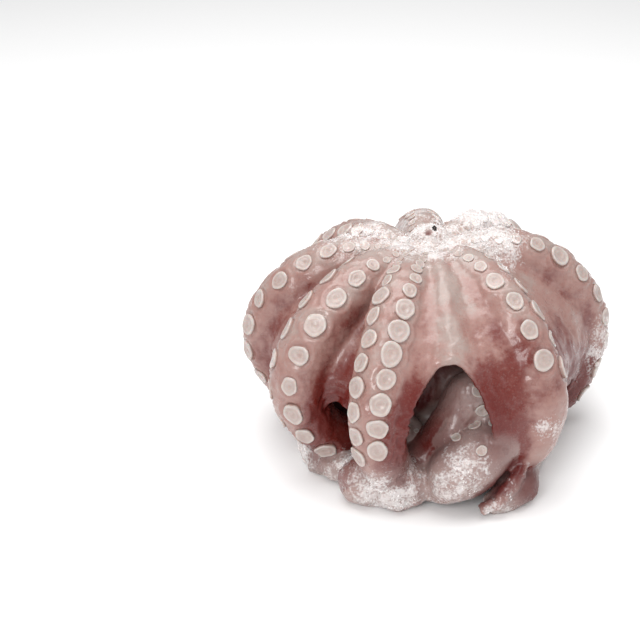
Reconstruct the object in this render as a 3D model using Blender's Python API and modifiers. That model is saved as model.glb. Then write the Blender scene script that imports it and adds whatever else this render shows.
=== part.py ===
"""A whole octopus, frozen in the shape of a flower.

The mouth is at the middle of the top. Eight arms arch out from it and down to the floor, with
their suckers outwards, and roll up under the body around the head. A web of skin hangs between
each two neighbours, and ends in an arched edge above the floor.

The animal is one closed solid. Its arms, webs, head, mouth and suckers are modelled as separate
shapes, joined by a voxel remesh, and cut flat where they rest on the floor.

Units are metres, +Z is up, and the origin is on the floor under the mouth. Azimuths are in
degrees round +Z from the front, -Y, and are positive towards +X.
"""

import math
from dataclasses import dataclass

import bmesh
import bpy
import numpy as np
from mathutils import Matrix, Vector

MM = 0.001

# Driving sizes
SPAN = 140 * MM  # how far out the widest arm's axis would be at a reach of 1
CROWN = 150 * MM  # how high an arm's axis would be at a height of 1
WEB_THICKNESS = 5.5 * MM
SUCKER_DIAMETER = 14.5 * MM  # of the widest suckers
SUCKER_HEIGHT = 2.6 * MM
FIRST_SUCKER = 0.9  # station where the rows begin
HEM = 2.9 * MM  # half width of a web's rounded free edge
MOUTH_PLACE = (0, 0, 0.87 * CROWN)
MOUTH_SIZE = (28 * MM, 28 * MM, 20 * MM)  # half of each, as an ellipsoid
HEAD_PLACE = (3 * MM, 4 * MM, 0.42 * CROWN)  # it hangs inside, under the mouth
HEAD_SIZE = (72 * MM, 71 * MM, 66 * MM)
LIPS_PLACE = (3 * MM, 10 * MM, 146 * MM)
LIPS_SIZE = (16 * MM, 13 * MM, 14 * MM)
HEELS = (
    ((-22 * MM, -104 * MM, 17 * MM), (22 * MM, 18 * MM, 19 * MM)),
    ((-42 * MM, -98 * MM, 16 * MM), (21 * MM, 18 * MM, 19 * MM)),
)  # lumps at the front arm's foot, as places and half sizes

# How finely the solid is made
STEPS_PER_KNOT = 5
WEB_STEPS = 18
VOXEL = 2.6 * MM
SMOOTHING_ROUNDS = 3
TRIANGLES = 9400

# The axis that all arms share, from the mouth to under the foot, one knot at each station:
# reach in spans, height in crowns, and half width in spans.
ARCH = (
    (0.10, 0.940, 0.075),
    (0.26, 0.945, 0.100),
    (0.44, 0.910, 0.124),
    (0.62, 0.810, 0.138),
    (0.765, 0.660, 0.142),
    (0.845, 0.485, 0.138),
    (0.835, 0.310, 0.128),
    (0.740, 0.165, 0.118),
    (0.580, 0.090, 0.102),
)
FOOT_STATION = 6  # from here on an arm turns in under the body

# An arm that rolls up under the body ends in a spiral
ROLL_KNOTS = 8
ROLL_STEP = math.radians(62)
ROLL_RADIUS = 0.190  # in spans, where the roll begins
ROLL_TIGHTENING = 0.86  # each knot's radius over the one before
TAIL_TAPER = 0.85  # each knot's half width over the one before


@dataclass(frozen=True)
class Arm:
    """One arm: its place round the mouth, and how it differs from the shared arch."""

    azimuth: float
    reach: float = 1.0
    rise: float = 1.0
    tuck: float = 1.0  # reach of the foot over what it would be
    foot_swing: float = 0.0  # degrees that the foot turns aside
    foot_lift: float = 0.0  # metres that the foot stays above the others
    pitch: float = 20 * MM  # between the suckers of a row
    roll_swing: float = 6.0  # degrees that each knot of the roll turns aside
    row_lean: float = 34.0  # degrees from the arm's outer line to each row of suckers
    twist: float = 0.0  # degrees that the rows turn to the left by the foot
    shrink: float = 0.78  # how much smaller its suckers are at its end
    bare: tuple = (99, 99)  # stations between which no suckers show
    facings: tuple = ()  # station and direction of the suckers past them
    tail: tuple = ()  # knots past the foot in place of the roll: x, y, z, half width


def in_metres(*knots):
    """Knots given in millimetres."""
    return tuple(tuple(value * MM for value in knot) for knot in knots)


# Past its foot the front arm climbs behind the web's arch, bends over and ends in a thick
# roll in front of it.
ARCH_COIL = in_metres(
    (-10, -84, 20, 17),
    (5, -84, 31, 17),
    (17, -82, 53, 16),
    (28, -78, 75, 16),
    (38, -83, 62, 14),
    (43, -86, 48, 13),
    (45, -94, 45, 17),
    (37, -100, 42, 20),
    (25, -105, 34, 21),
    (13, -108, 25, 20),
    (3, -105, 16, 12),
    (-2, -97, 12, 8),
)
COIL_FACINGS = ((11.6, 1.0, -0.4, 0.2), (14.6, 0.9, -0.6, 0.3), (15.4, -0.3, -0.5, 0.8),
                (19.0, -0.5, -0.6, 0.5))
# The right arm's end lies along the floor beside that roll.
FLOOR_TAIL = in_metres(
    (80, -30, 15, 14),
    (73, -50, 15, 14),
    (66, -68, 15, 14),
    (62, -86, 14, 14),
    (59, -99, 13, 14),
    (50, -108, 9, 11),
    (38, -114, 5, 6),
)
# The left arm's end comes out from under the front left one and lies on to the front arm's foot.
SIDE_TAIL = in_metres(
    (-66, -8, 14, 14),
    (-76, -24, 14, 13),
    (-80, -40, 13, 13),
    (-76, -56, 12, 12),
    (-66, -69, 11, 11),
    (-54, -78, 12, 12),
    (-43, -86, 13, 14),
    (-32, -92, 11, 11),
)
# The rim of skin that stands up between the roll and the tail beside it.
CREST = in_metres(
    (66, -98, 36, 4),
    (60, -107, 29, 5),
    (53, -115, 21, 5),
    (44, -120, 12, 5),
    (33, -121, 6, 4),
)

# In order round the mouth, starting at the left of the front.
ARMS = {
    "front": Arm(-18.5, rise=1.01, foot_swing=5, pitch=17 * MM, row_lean=29, twist=9,
                 shrink=0.40, bare=(5.8, 11.6), facings=COIL_FACINGS,
                 tail=ARCH_COIL),
    "front_right": Arm(38, reach=0.98, rise=1.02, foot_swing=-6, foot_lift=8 * MM,
                       pitch=22 * MM, row_lean=29, twist=-24, roll_swing=-6,
                       bare=(4.6, 99)),
    "right": Arm(101, reach=1.03, tuck=0.95, foot_swing=-6, pitch=23 * MM, tail=FLOOR_TAIL),
    "back_right": Arm(140, foot_swing=6, roll_swing=-5),
    "back": Arm(180, reach=0.98, rise=0.96, foot_swing=-7),
    "back_left": Arm(-138, reach=0.98, rise=0.95, foot_swing=8, roll_swing=-6),
    "left": Arm(-94, reach=0.98, rise=0.98, tuck=0.87, pitch=23 * MM, tail=SIDE_TAIL),
    "front_left": Arm(-52, tuck=0.88, pitch=24 * MM, foot_swing=5, foot_lift=9 * MM,
                      roll_swing=7),
}


@dataclass(frozen=True)
class Web:
    """The skin between two neighbouring arms."""

    depth: float  # how far its valley lies inside the line between the arms
    edge: float  # station of its free edge, midway between the arms
    arch: float = 2.5  # stations that the free edge comes further down beside the arms
    skew: float = 0.0  # how far its top is from the middle, towards the next arm
    join: float = 0.6  # how far out from the arms' axes it joins them, in half widths
    crease: float = 0.0  # height of the fold that stands along the valley


# In the same order: each hangs between the arm of its name and the next.
WEBS = {
    "front": Web(13 * MM, 3.65, arch=10.0, skew=-0.17, join=0.78, crease=7 * MM),
    "front_right": Web(24 * MM, 5.7),
    "right": Web(19 * MM, 6.0),
    "back_right": Web(17 * MM, 5.8),
    "back": Web(25 * MM, 5.6, crease=6 * MM),
    "back_left": Web(20 * MM, 6.0),
    "left": Web(19 * MM, 6.1),
    "front_left": Web(24 * MM, 5.1),
}
WEB_START = 0.4  # station where a web begins, near the mouth
WEB_END = 7.2  # the last station that any free edge comes down to
EDGE_POWER = 2.8  # 2 makes the free edge a parabola, and more makes its top broader
CREASE_PLACE = 0.45  # of the way across the web
CREASE_WIDTH = 0.10


def polar(azimuth, reach, height):
    """The point at this azimuth, this far from the axis through the mouth, at this height."""
    angle = math.radians(azimuth)
    return Vector((reach * math.sin(angle), -reach * math.cos(angle), height))


def ease(value):
    """0 below 0, 1 above 1, and smooth between them."""
    clamped = min(1.0, max(0.0, value))
    return clamped * clamped * (3 - 2 * clamped)


def arch_knots(arm):
    """The knots of an arm from the mouth to under its foot: x, y, z and half width."""
    knots = []
    for station, (reach, height, half_width) in enumerate(ARCH):
        share = ease((station - FOOT_STATION + 1) / 3)
        tucked = 1 + (arm.tuck - 1) * ease((station - FOOT_STATION + 2) / 3)
        out = reach * SPAN * tucked * (1 + (arm.reach - 1) * min(1, 2 * reach))
        up = height * CROWN * (1 + (arm.rise - 1) * min(1, 2 * height))
        place = polar(arm.azimuth + arm.foot_swing * share, out, up + arm.foot_lift * share)
        knots.append((*place, half_width * SPAN))
    return knots


def roll_knots(arm):
    """The knots of the spiral in which an arm rolls up, from its foot to its tip."""
    last_reach, last_height, last_width = ARCH[-1]
    radius = ROLL_RADIUS * SPAN
    middle_reach = last_reach * SPAN * arm.tuck
    middle_height = last_height * CROWN + arm.foot_lift + radius
    half_width = last_width * SPAN
    knots = []
    for knot in range(1, ROLL_KNOTS + 1):
        radius *= ROLL_TIGHTENING
        half_width *= TAIL_TAPER
        turn = knot * ROLL_STEP
        azimuth = arm.azimuth + arm.foot_swing + arm.roll_swing * knot
        reach = middle_reach - radius * math.sin(turn)
        knots.append((*polar(azimuth, reach, middle_height - radius * math.cos(turn)), half_width))
    return knots


def smooth_line(knots, steps=STEPS_PER_KNOT):
    """A Catmull-Rom curve through the knots, with this many points for each."""
    ends = 2 * knots[0] - knots[1], 2 * knots[-1] - knots[-2]
    held = np.vstack([ends[0], knots, ends[1]])
    line = []
    for before, start, end, after in zip(held, held[1:], held[2:], held[3:]):
        for step in range(steps):
            t = step / steps
            line.append(0.5 * (2 * start + (end - before) * t
                               + (2 * before - 5 * start + 4 * end - after) * t ** 2
                               + (3 * start - before - 3 * end + after) * t ** 3))
    line.append(knots[-1])
    return np.array(line)


class Route:
    """An arm's axis, with its half width and the direction its suckers face at each point."""

    def __init__(self, arm):
        knots = arch_knots(arm) + list(arm.tail or roll_knots(arm))
        line = smooth_line(np.array(knots))
        self.points = line[:, :3]
        self.half_widths = line[:, 3]
        self.ahead = np.gradient(self.points, axis=0)
        self.ahead /= np.linalg.norm(self.ahead, axis=1)[:, None]
        self.outward = self.carried_outward()
        outer_line = self.points + self.outward * self.half_widths[:, None]
        steps = np.linalg.norm(np.diff(outer_line, axis=0), axis=1)
        self.lengths = np.concatenate([[0], np.cumsum(steps)])

    def carried_outward(self):
        """The suckers' direction, upwards at the mouth and carried along the axis without a twist."""
        outward = np.zeros_like(self.points)
        held = np.array([0.0, 0.0, 1.0])
        for index, ahead in enumerate(self.ahead):
            held = held - ahead * (held @ ahead)
            held /= np.linalg.norm(held)
            outward[index] = held
        return outward

    def read(self, values, index):
        """The values at a place between two points of the line."""
        low = int(min(max(index, 0), len(values) - 2))
        share = index - low
        return values[low] * (1 - share) + values[low + 1] * share

    def at_station(self, station):
        """Axis, outward direction and half width at a station, where a knot is a whole number."""
        index = station * STEPS_PER_KNOT
        return tuple(self.read(v, index) for v in (self.points, self.outward, self.half_widths))

    def at_length(self, length):
        """Index along the line at this length of its outer side from the mouth."""
        return float(np.interp(length, self.lengths, np.arange(len(self.lengths))))


def take_mesh(obj):
    """The evaluated mesh of an object, in world space. The object is removed."""
    graph = bpy.context.evaluated_depsgraph_get()
    mesh = bpy.data.meshes.new_from_object(obj.evaluated_get(graph))
    mesh.transform(obj.matrix_world)
    bpy.data.objects.remove(obj)
    return mesh


def tube_mesh(name, points, half_widths):
    """A closed tube along a line, this wide at each of its points."""
    curve = bpy.data.curves.new(name, "CURVE")
    curve.dimensions = "3D"
    curve.bevel_depth = 1
    curve.bevel_resolution = 3
    curve.use_fill_caps = True
    spline = curve.splines.new("POLY")
    spline.points.add(len(points) - 1)
    for point, place, half_width in zip(spline.points, points, half_widths):
        point.co = (*place, 1)
        point.radius = half_width
    tube = bpy.data.objects.new(name, curve)
    bpy.context.scene.collection.objects.link(tube)
    mesh = take_mesh(tube)
    shell = bmesh.new()
    shell.from_mesh(mesh)
    bmesh.ops.remove_doubles(shell, verts=shell.verts, dist=0.1 * MM)
    shell.to_mesh(mesh)
    shell.free()
    return mesh


def web_point(web, first, second, station, across):
    """A point of the web at this station, this far across from the first arm to the second."""
    places = []
    for route in (first, second):
        axis, outward, half_width = route.at_station(station)
        places.append((axis + outward * half_width * web.join, outward))
    (start, start_out), (end, end_out) = places
    start_angle = math.atan2(start[0], -start[1])
    turn = (math.atan2(end[0], -end[1]) - start_angle) % (2 * math.pi)
    angle = math.degrees(start_angle + turn * across)
    reach = (1 - across) * math.hypot(*start[:2]) + across * math.hypot(*end[:2])
    height = (1 - across) * start[2] + across * end[2]
    outward = Vector((1 - across) * start_out + across * end_out)
    outward = polar(angle, math.hypot(*outward.xy), outward.z).normalized()
    valley = web.depth * math.sin(math.pi * across) ** 0.8
    fold = web.crease * math.exp(-(((across - CREASE_PLACE) / CREASE_WIDTH) ** 2))
    grown = ease(station / 3)
    return polar(angle, reach, height) - outward * (valley - fold) * grown


def web_rows(web, first, second):
    """Points of the web in rows, the first one near the mouth and the last its free edge."""
    rows = []
    for row in range(WEB_STEPS + 1):
        points = []
        for column in range(WEB_STEPS + 1):
            across = column / WEB_STEPS
            aside = abs(2 * across - 1 - web.skew)
            edge = min(WEB_END, web.edge + web.arch * aside ** EDGE_POWER)
            station = WEB_START + (edge - WEB_START) * row / WEB_STEPS
            points.append(web_point(web, first, second, station, across))
        rows.append(points)
    return rows


def web_meshes(name, web, first, second):
    """The web between two arms, with its thickness, and the rounded hem of its free edge."""
    rows = web_rows(web, first, second)
    grid = bmesh.new()
    verts = [[grid.verts.new(point) for point in points] for points in rows]
    for upper, lower in zip(verts, verts[1:]):
        for a, b, c, d in zip(upper, upper[1:], lower[1:], lower):
            grid.faces.new((a, b, c, d))
    mesh = bpy.data.meshes.new(name)
    grid.to_mesh(mesh)
    grid.free()
    sheet = bpy.data.objects.new(name, mesh)
    bpy.context.scene.collection.objects.link(sheet)
    skin = sheet.modifiers.new("Thickness", "SOLIDIFY")
    skin.thickness = WEB_THICKNESS
    skin.offset = 0
    return [take_mesh(sheet), tube_mesh(name + "_hem", rows[-1], [HEM] * len(rows[-1]))]


def crest_mesh():
    """The rim of skin that stands up beside the front arm's roll."""
    line = smooth_line(np.array(CREST))
    return tube_mesh("crest", line[:, :3], line[:, 3])


def ball_mesh(name, centre, half_sizes):
    """An ellipsoid."""
    bpy.ops.mesh.primitive_uv_sphere_add(segments=32, ring_count=20, location=centre)
    ball = bpy.context.object
    ball.name = name
    ball.scale = half_sizes
    bpy.context.view_layer.update()
    return take_mesh(ball)


def sucker_diameter(station, shrink):
    """Small beside the mouth, widest over the arch, and small again towards the tip."""
    growth = 0.30 + 0.70 * ease((station - 0.4) / 2.6)
    fading = 1 - shrink * ease((station - FOOT_STATION) / 9)
    return SUCKER_DIAMETER * growth * fading


def sucker_meshes(arm, route):
    """Two alternating rows of discs along the side of the arm that faces outwards."""
    meshes = []
    length = route.lengths[int(FIRST_SUCKER * STEPS_PER_KNOT)]
    side = 1
    while length < route.lengths[-1] * 0.93:
        index = route.at_length(length)
        station = index / STEPS_PER_KNOT
        diameter = sucker_diameter(station, arm.shrink)
        axis, outward, ahead = (
            Vector(route.read(v, index)) for v in (route.points, route.outward, route.ahead)
        )
        half_width = float(route.read(route.half_widths, index))
        if arm.facings and station > arm.facings[0][0]:
            marks = np.array(arm.facings).T
            wanted = Vector([np.interp(station, marks[0], marks[k]) for k in (1, 2, 3)])
            outward = (wanted - ahead * wanted.dot(ahead)).normalized()
        turn = arm.twist * ease(station / FOOT_STATION)
        facing = Matrix.Rotation(math.radians(side * arm.row_lean + turn), 3, ahead) @ outward
        if not arm.bare[0] < station < arm.bare[1]:
            bpy.ops.mesh.primitive_cone_add(
                vertices=12,
                radius1=diameter * 0.42,
                radius2=diameter * 0.5,
                depth=2 * SUCKER_HEIGHT,
                location=axis + facing * half_width,
                rotation=facing.to_track_quat("Z", "Y").to_euler(),
            )
            meshes.append(take_mesh(bpy.context.object))
        length += 0.5 * arm.pitch * diameter / SUCKER_DIAMETER
        side = -side
    return meshes


def floor_cutter():
    """A slab under the floor, which cuts flat what would reach below it."""
    thickness = 60 * MM
    bpy.ops.mesh.primitive_cube_add(size=1, location=(0, 0, -thickness / 2))
    slab = bpy.context.object
    slab.name = "floor_cutter"
    slab.scale = (4 * SPAN, 4 * SPAN, thickness)
    bpy.ops.object.transform_apply(location=False, rotation=False, scale=True)
    slab.hide_render = True
    slab.display_type = "WIRE"
    return slab


def flesh():
    """The pale pink of raw, frozen octopus."""
    material = bpy.data.materials.new("frozen_flesh")
    material.use_nodes = True
    surface = material.node_tree.nodes["Principled BSDF"]
    surface.inputs["Base Color"].default_value = (0.45, 0.24, 0.20, 1)
    surface.inputs["Roughness"].default_value = 0.35
    return material


def joined_mesh():
    """Every shape of the animal in one mesh, still as separate shells."""
    routes = {name: Route(arm) for name, arm in ARMS.items()}
    names = list(ARMS)
    meshes = [ball_mesh("mouth", MOUTH_PLACE, MOUTH_SIZE), ball_mesh("head", HEAD_PLACE, HEAD_SIZE)]
    meshes += [ball_mesh("lips", LIPS_PLACE, LIPS_SIZE), crest_mesh()]
    meshes += [ball_mesh("heel", place, half_sizes) for place, half_sizes in HEELS]
    for name, following in zip(names, names[1:] + names[:1]):
        route = routes[name]
        meshes.append(tube_mesh(name, route.points, route.half_widths))
        meshes += web_meshes(name + "_web", WEBS[name], route, routes[following])
        meshes += sucker_meshes(ARMS[name], routes[name])
    shells = bmesh.new()
    for mesh in meshes:
        shells.from_mesh(mesh)
        bpy.data.meshes.remove(mesh)
    joined = bpy.data.meshes.new("shapes")
    shells.to_mesh(joined)
    shells.free()
    return joined


def fused_mesh(shapes):
    """The shapes as one skin of small faces, rounded where they meet."""
    body = bpy.data.objects.new("shapes", shapes)
    bpy.context.scene.collection.objects.link(body)
    union = body.modifiers.new("Union", "REMESH")
    union.mode = "VOXEL"
    union.voxel_size = VOXEL
    rounding = body.modifiers.new("Rounding", "SMOOTH")
    rounding.iterations = SMOOTHING_ROUNDS
    return take_mesh(body)


def keep_outer_skin(mesh):
    """Fills the pockets shut inside the body, whose walls are skins apart from the outer one."""
    body = bmesh.new()
    body.from_mesh(mesh)
    unseen = set(body.verts)
    skins = []
    while unseen:
        skin = set()
        edge = [unseen.pop()]
        while edge:
            vert = edge.pop()
            skin.add(vert)
            near = [link.other_vert(vert) for link in vert.link_edges]
            fresh = [other for other in near if other in unseen]
            unseen.difference_update(fresh)
            edge += fresh
        skins.append(skin)
    outer = max(skins, key=len)
    inner = [vert for vert in body.verts if vert not in outer]
    bmesh.ops.delete(body, geom=inner, context="VERTS")
    body.to_mesh(mesh)
    body.free()


def stand_in_the_middle(mesh):
    """Moves the body sideways until the origin is under the middle of its box."""
    places = np.array([vert.co for vert in mesh.vertices])
    middle = (places.min(axis=0) + places.max(axis=0)) / 2
    mesh.transform(Matrix.Translation((-middle[0], -middle[1], 0)))


def put_in_collection(obj, name):
    """Moves an object to a collection of its own."""
    for held in list(obj.users_collection):
        held.objects.unlink(obj)
    collection = bpy.data.collections.new(name)
    bpy.context.scene.collection.children.link(collection)
    collection.objects.link(obj)


def octopus():
    """The whole animal as one solid."""
    mesh = fused_mesh(joined_mesh())
    keep_outer_skin(mesh)
    stand_in_the_middle(mesh)
    mesh.name = "octopus"
    mesh.materials.clear()
    mesh.materials.append(flesh())
    body = bpy.data.objects.new("octopus", mesh)
    bpy.context.scene.collection.objects.link(body)
    facets = body.modifiers.new("Facets", "DECIMATE")
    facets.ratio = TRIANGLES / (2 * len(mesh.polygons))
    facets.use_collapse_triangulate = True
    rest = body.modifiers.new("Rest", "BOOLEAN")
    rest.operation = "DIFFERENCE"
    rest.object = floor_cutter()
    put_in_collection(body, "octopus_parts")
    put_in_collection(rest.object, "cutters")
    return body


def clear_scene():
    """Removes the objects of the startup scene."""
    for obj in list(bpy.data.objects):
        bpy.data.objects.remove(obj)


clear_scene()
octopus()
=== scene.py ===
"""The looks of a whole octopus, frozen in the shape of a flower.

The mouth is at the middle of the top. Eight arms arch out from it to the floor with their suckers
outwards, webs of skin hang between them, and their ends roll up underneath. The body is modelled
again here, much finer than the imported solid, by the same rules, and gets folds, suckers, frost,
ice and a beak.

Shapes are worked out in metres round the axis through the mouth, +Z up. Azimuths are in degrees
from the front, -Y, positive towards +X. At the end everything moves to where the solid stands.
"""

import logging
import math
import random
from dataclasses import dataclass
from enum import Enum

import bmesh
import bpy
import numpy as np
from mathutils import Matrix, Vector, noise
from mathutils.bvhtree import BVHTree
from mathutils.kdtree import KDTree


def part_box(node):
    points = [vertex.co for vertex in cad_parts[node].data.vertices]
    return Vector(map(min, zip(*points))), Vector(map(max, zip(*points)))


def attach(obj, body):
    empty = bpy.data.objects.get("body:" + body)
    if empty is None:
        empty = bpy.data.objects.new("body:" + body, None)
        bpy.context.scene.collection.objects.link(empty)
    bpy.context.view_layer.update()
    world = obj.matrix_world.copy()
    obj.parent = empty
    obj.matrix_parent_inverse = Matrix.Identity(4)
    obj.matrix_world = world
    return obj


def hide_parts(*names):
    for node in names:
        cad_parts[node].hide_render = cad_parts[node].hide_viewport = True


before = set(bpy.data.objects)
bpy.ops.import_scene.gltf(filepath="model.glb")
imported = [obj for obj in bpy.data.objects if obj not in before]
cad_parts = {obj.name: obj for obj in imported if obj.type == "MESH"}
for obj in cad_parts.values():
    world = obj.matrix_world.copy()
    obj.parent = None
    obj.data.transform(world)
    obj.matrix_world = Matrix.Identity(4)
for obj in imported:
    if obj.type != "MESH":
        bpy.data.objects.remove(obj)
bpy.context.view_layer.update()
NODE = "octopus"
BODY = "root"

LOG = logging.getLogger("octopus")
MM = 0.001
KNOT_STEPS = 10  # points of a smooth line for each of its knots
ROWS_AT_ONCE = 20000  # points of the skin that are measured against an arm together

Knot = tuple[float, float, float, float]
Colour = tuple[float, float, float]


# ---------------------------------------------------------------- plain sums


def ease(value: float | np.ndarray) -> float | np.ndarray:
    """Eases a value: 0 below 0, 1 above 1, and smooth between them.

    Args:
        value: A number or an array of numbers.

    Returns:
        The eased value, of the same kind.
    """
    held = np.clip(value, 0.0, 1.0)
    return held * held * (3 - 2 * held)


def hump(value: float | np.ndarray, middle: float, width: float) -> float | np.ndarray:
    """Gives a smooth hump of height 1.

    Args:
        value: Where to read it.
        middle: Where its top is.
        width: How far from the top it has fallen to a third.

    Returns:
        Its height there.
    """
    return np.exp(-(((value - middle) / width) ** 2))


def polar(azimuth: float, reach: float, height: float) -> Vector:
    """Gives the point at an azimuth in degrees, a distance from the mouth's axis and a height."""
    angle = math.radians(azimuth)
    return Vector((reach * math.sin(angle), -reach * math.cos(angle), height))


def to_linear(red: int, green: int, blue: int) -> Colour:
    """Turns a screen colour, 0 to 255, into the linear one that a shader takes.

    Args:
        red: Red on the screen.
        green: Green on the screen.
        blue: Blue on the screen.

    Returns:
        The three linear values, 0 to 1.
    """
    shares = (red / 255, green / 255, blue / 255)
    return tuple(s / 12.92 if s <= 0.04045 else ((s + 0.055) / 1.055) ** 2.4 for s in shares)


def smooth_line(knots: np.ndarray) -> np.ndarray:
    """Runs a Catmull-Rom curve through knots.

    Args:
        knots: One knot in each row, with its half width last.

    Returns:
        Points along the curve, one in each row, with their half widths last.
    """
    held = np.vstack([2 * knots[0] - knots[1], knots, 2 * knots[-1] - knots[-2]])
    line = []
    for before, start, end, after in zip(held, held[1:], held[2:], held[3:]):
        for step in range(KNOT_STEPS):
            t = step / KNOT_STEPS
            line.append(0.5 * (2 * start + (end - before) * t
                               + (2 * before - 5 * start + 4 * end - after) * t ** 2
                               + (3 * start - before - 3 * end + after) * t ** 3))
    line.append(knots[-1])
    return np.array(line)


def field_noise(places: np.ndarray, grain: float, seed: int, octaves: int = 2) -> np.ndarray:
    """Reads smooth noise at many points.

    Args:
        places: The points, one in each row, in metres.
        grain: Size of the noise's lumps, in metres.
        seed: Which noise to read.
        octaves: How many finer layers it has.

    Returns:
        A value for each point, mostly from -1 to 1.
    """
    shift = Vector((seed * 13.7, seed * -7.9, seed * 5.3))
    scale = 1.0 / grain
    read = noise.fractal
    rows = (places * scale).tolist()
    return np.array([read(Vector(row) + shift, 0.9, 2.0, octaves) for row in rows])


# ---------------------------------------------------------------- the plan of the animal


@dataclass(frozen=True)
class ArmPlan:
    """One arm: its place round the mouth, and how it differs from the shared arch."""

    azimuth: float
    reach: float = 1.0
    rise: float = 1.0
    tuck: float = 1.0  # reach of the foot over what it would be
    foot_swing: float = 0.0  # degrees that the foot turns aside
    foot_lift: float = 0.0  # metres that the foot stays above the others
    pitch: float = 20 * MM  # between the suckers of a row
    roll_swing: float = 6.0  # degrees that each knot of the roll turns aside
    row_lean: float = 34.0  # degrees from the arm's outer line to each row of suckers
    twist: float = 0.0  # degrees that the rows turn to the left by the foot
    shrink: float = 0.78  # how much smaller its suckers are at its end
    bare: tuple[float, float] = (99, 99)  # stations between which no suckers show
    facings: tuple[Knot, ...] = ()  # station and direction of the suckers past them
    tail: tuple[Knot, ...] = ()  # knots past the foot in place of the roll


@dataclass(frozen=True)
class WebPlan:
    """The skin between two neighbouring arms."""

    depth: float  # how far its valley lies inside the line between the arms
    edge: float  # station of its free edge, midway between the arms
    arch: float = 2.5  # stations that the free edge comes further down beside the arms
    skew: float = 0.0  # how far its top is from the middle, towards the next arm
    join: float = 0.6  # how far out from the arms' axes it joins them, in half widths
    crease: float = 0.0  # height of the fold that stands along the valley
    flush: float = 0.75  # how red it is, from 0 to 1


def in_metres(*knots: Knot) -> tuple[Knot, ...]:
    """Turns knots given in millimetres into metres."""
    return tuple(tuple(value * MM for value in knot) for knot in knots)


@dataclass(frozen=True)
class Anatomy:
    """The driving sizes of the whole animal."""

    span: float = 140 * MM
    crown: float = 150 * MM
    web_thickness: float = 5.0 * MM
    sucker_diameter: float = 14.5 * MM
    foot_station: int = 6
    roll_knots: int = 8
    roll_step: float = math.radians(62)
    roll_radius: float = 0.190  # in spans
    roll_tightening: float = 0.86
    tail_taper: float = 0.85
    # reach in spans, height in crowns and half width in spans, one knot at each station
    arch: tuple[tuple[float, float, float], ...] = (
        (0.10, 0.940, 0.075),
        (0.26, 0.945, 0.100),
        (0.44, 0.910, 0.124),
        (0.62, 0.810, 0.138),
        (0.765, 0.660, 0.142),
        (0.845, 0.485, 0.138),
        (0.835, 0.310, 0.128),
        (0.740, 0.165, 0.118),
        (0.580, 0.090, 0.102),
    )


SIZES = Anatomy()

# Past its foot the front arm climbs behind the web's arch, bends over and ends in a thick
# roll in front of it.
ARCH_COIL = in_metres(
    (-10, -84, 20, 17),
    (5, -84, 31, 17),
    (17, -82, 53, 16),
    (28, -78, 75, 16),
    (38, -83, 62, 14),
    (43, -86, 48, 13),
    (45, -94, 45, 17),
    (37, -100, 42, 20),
    (25, -105, 34, 21),
    (13, -108, 25, 20),
    (3, -105, 16, 12),
    (-2, -97, 12, 8),
)
COIL_FACINGS = ((11.6, 1.0, -0.4, 0.2), (14.6, 0.9, -0.6, 0.3), (15.4, -0.3, -0.5, 0.8),
                (19.0, -0.5, -0.6, 0.5))
# The right arm's end lies along the floor beside that roll.
FLOOR_TAIL = in_metres(
    (80, -30, 15, 14),
    (73, -50, 15, 14),
    (66, -68, 15, 14),
    (62, -86, 14, 14),
    (59, -99, 13, 14),
    (50, -108, 9, 11),
    (38, -114, 5, 6),
)
# The left arm's end comes out from under the front left one and lies on to the front arm's foot.
SIDE_TAIL = in_metres(
    (-66, -8, 14, 14),
    (-76, -24, 14, 13),
    (-80, -40, 13, 13),
    (-76, -56, 12, 12),
    (-66, -69, 11, 11),
    (-54, -78, 12, 12),
    (-43, -86, 13, 14),
    (-32, -92, 11, 11),
)
# The rim of skin that stands up between the roll and the tail beside it.
CREST = in_metres(
    (66, -98, 36, 4),
    (60, -107, 29, 5),
    (53, -115, 21, 5),
    (44, -120, 12, 5),
    (33, -121, 6, 4),
)

ARMS: dict[str, ArmPlan] = {
    "front": ArmPlan(-18.5, rise=1.01, foot_swing=5, pitch=17 * MM, row_lean=29, twist=9,
                     shrink=0.40, bare=(5.8, 11.6), facings=COIL_FACINGS,
                     tail=ARCH_COIL),
    "front_right": ArmPlan(38, reach=0.98, rise=1.02, foot_swing=-6, foot_lift=8 * MM,
                           pitch=22 * MM, row_lean=29, twist=-24, roll_swing=-6,
                           bare=(4.6, 99)),
    "right": ArmPlan(101, reach=1.03, tuck=0.95, foot_swing=-6, pitch=23 * MM, tail=FLOOR_TAIL),
    "back_right": ArmPlan(140, foot_swing=6, roll_swing=-5),
    "back": ArmPlan(180, reach=0.98, rise=0.96, foot_swing=-7),
    "back_left": ArmPlan(-138, reach=0.98, rise=0.95, foot_swing=8, roll_swing=-6),
    "left": ArmPlan(-94, reach=0.98, rise=0.98, tuck=0.87, pitch=23 * MM, tail=SIDE_TAIL),
    "front_left": ArmPlan(-52, tuck=0.88, pitch=24 * MM, foot_swing=5, foot_lift=9 * MM,
                          roll_swing=7),
}
WEBS: dict[str, WebPlan] = {
    "front": WebPlan(13 * MM, 3.65, arch=10.0, skew=-0.17, join=0.78, crease=7 * MM, flush=0.45),
    "front_right": WebPlan(24 * MM, 5.7, flush=0.62),
    "right": WebPlan(19 * MM, 6.0),
    "back_right": WebPlan(17 * MM, 5.8, flush=0.6),
    "back": WebPlan(25 * MM, 5.6, crease=6 * MM),
    "back_left": WebPlan(20 * MM, 6.0, flush=0.7),
    "left": WebPlan(19 * MM, 6.1, flush=0.95),
    "front_left": WebPlan(24 * MM, 5.1, flush=1.15),
}
WEB_START = 0.4  # station where a web begins, near the mouth
WEB_END = 7.2  # the last station that any free edge comes down to
EDGE_POWER = 2.8  # how sharply a free edge turns down beside the arms
VALLEY_POWER = 0.8  # how full the hollow between two arms is
CREASE_PLACE = 0.45  # of the way across the web
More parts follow.
